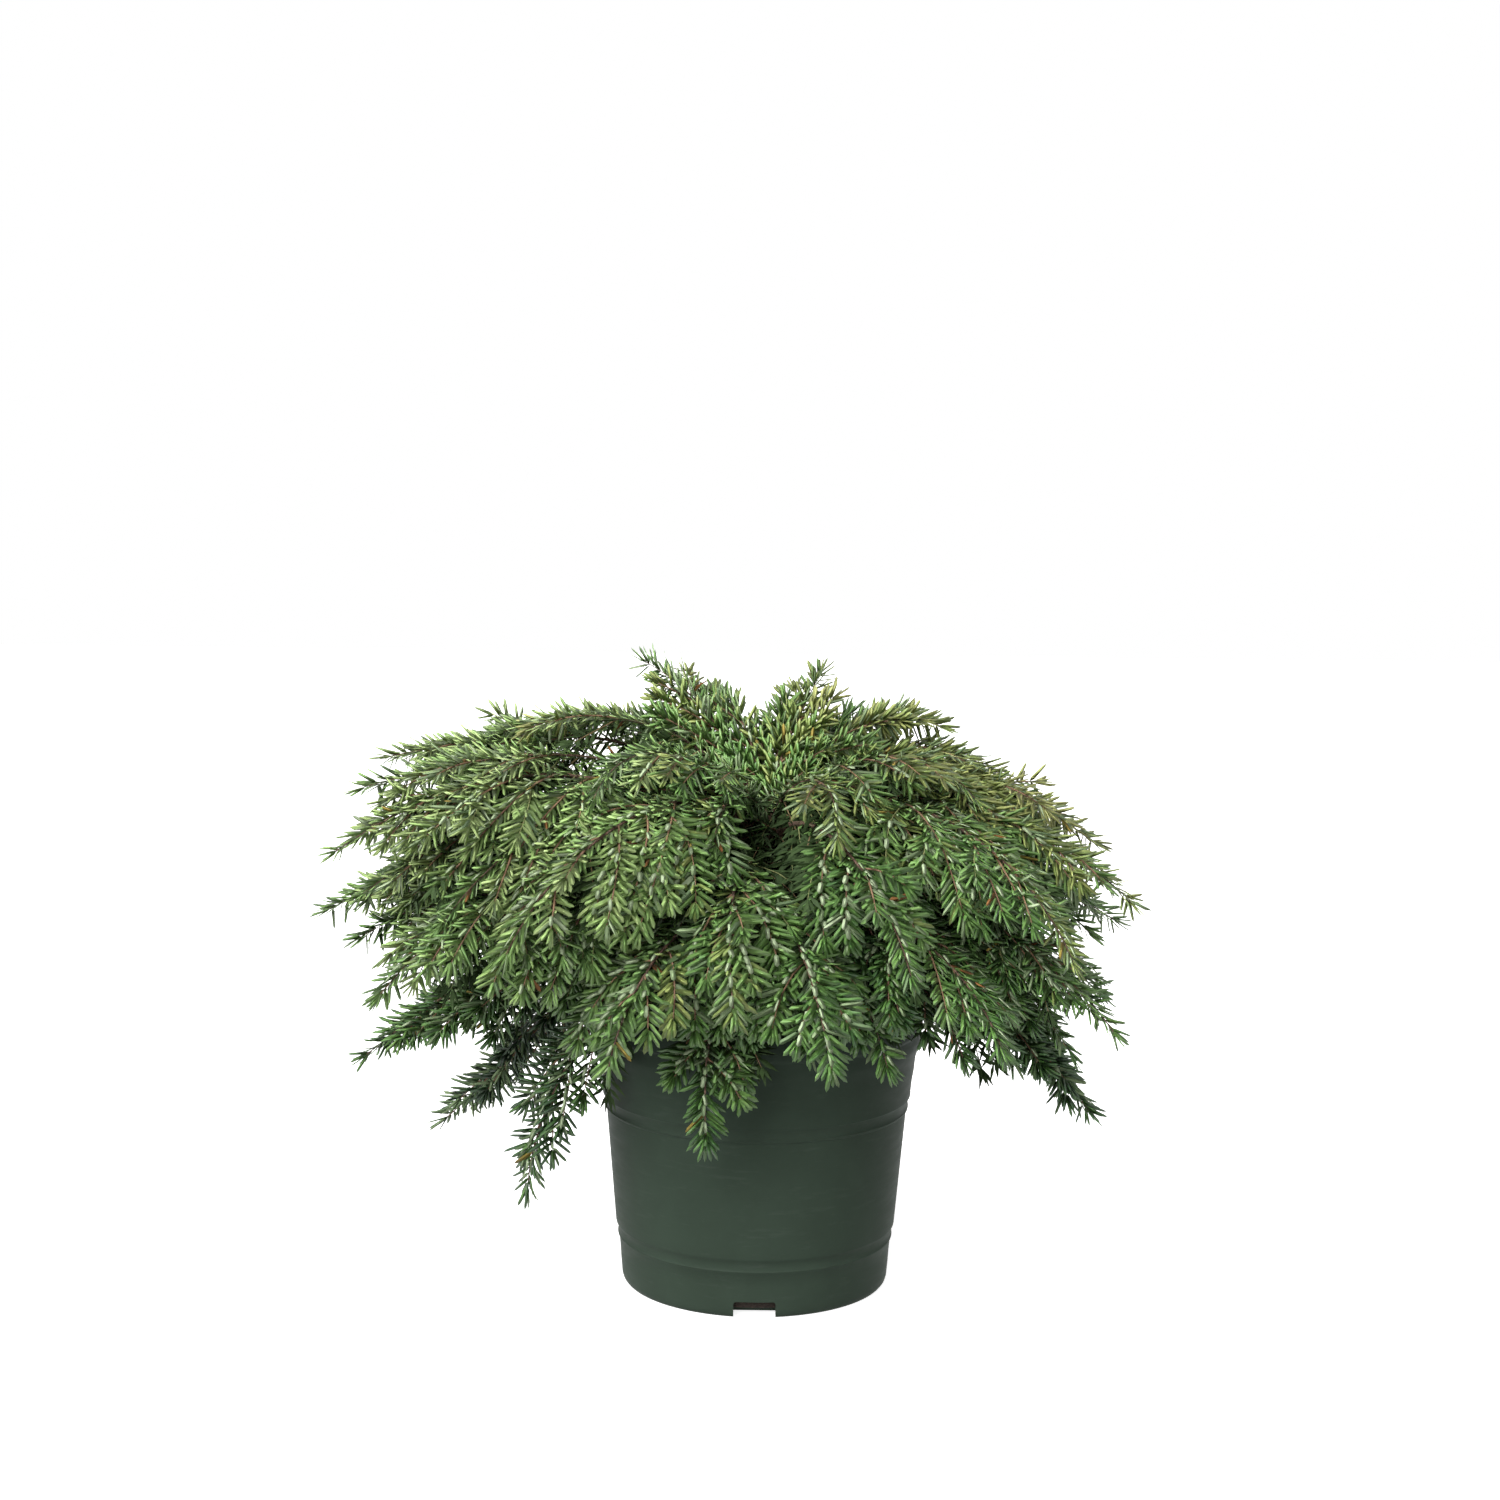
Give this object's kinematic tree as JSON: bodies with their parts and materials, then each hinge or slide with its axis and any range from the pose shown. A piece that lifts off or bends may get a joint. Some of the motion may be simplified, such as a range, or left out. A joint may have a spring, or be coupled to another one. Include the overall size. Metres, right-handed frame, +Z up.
{
  "type": "potted weeping hemlock shrub",
  "caption": "Dwarf weeping eastern hemlock in a round plastic nursery pot: a short trunk, arching boughs and flat drooping plumes of needles over the rim.",
  "frame": {"origin": "centre of the pot's flat underside, on the pot's axis", "axes": "+Z up along the pot's axis, front of the plant towards -Y, +X to the plant's right as seen from the front"},
  "size_m": [0.4492, 0.3761, 0.3515],
  "materials": {
    "pot_plastic": "dark green moulded plastic, satin, lightly scuffed",
    "soil": "damp dark potting soil, crumbly",
    "bark": "thin red-brown bark, finely ridged",
    "foliage": "short flat needles, mid green above and pale below, slightly waxy"
  },
  "bodies": {
    "root": {"pot": "pot_plastic", "soil": "soil", "trunk": "bark", "foliage_leader": "foliage", "foliage_crown_left": "foliage", "foliage_crown_right": "foliage", "foliage_crown_front": "foliage", "foliage_crown_back": "foliage", "bough_upper_1": "bark", "foliage_upper_1": "foliage", "bough_upper_2": "bark", "foliage_upper_2": "foliage", "bough_upper_3": "bark", "foliage_upper_3": "foliage", "bough_upper_4": "bark", "foliage_upper_4": "foliage", "bough_upper_5": "bark", "foliage_upper_5": "foliage", "bough_upper_6": "bark", "foliage_upper_6": "foliage", "bough_upper_7": "bark", "foliage_upper_7": "foliage", "bough_upper_8": "bark", "foliage_upper_8": "foliage", "bough_upper_9": "bark", "foliage_upper_9": "foliage", "bough_middle_1": "bark", "foliage_middle_1": "foliage", "bough_middle_2": "bark", "foliage_middle_2": "foliage", "bough_middle_3": "bark", "foliage_middle_3": "foliage", "bough_middle_4": "bark", "foliage_middle_4": "foliage", "bough_middle_5": "bark", "foliage_middle_5": "foliage", "bough_middle_6": "bark", "foliage_middle_6": "foliage", "bough_middle_7": "bark", "foliage_middle_7": "foliage", "bough_middle_8": "bark", "foliage_middle_8": "foliage", "bough_middle_9": "bark", "foliage_middle_9": "foliage", "bough_lower_1": "bark", "foliage_lower_1": "foliage", "bough_lower_2": "bark", "foliage_lower_2": "foliage", "bough_lower_3": "bark", "foliage_lower_3": "foliage", "bough_lower_4": "bark", "foliage_lower_4": "foliage", "bough_lower_5": "bark", "foliage_lower_5": "foliage", "bough_lower_6": "bark", "foliage_lower_6": "foliage", "bough_lower_7": "bark", "foliage_lower_7": "foliage", "bough_lower_8": "bark", "foliage_lower_8": "foliage"}
  },
  "joints": []
}
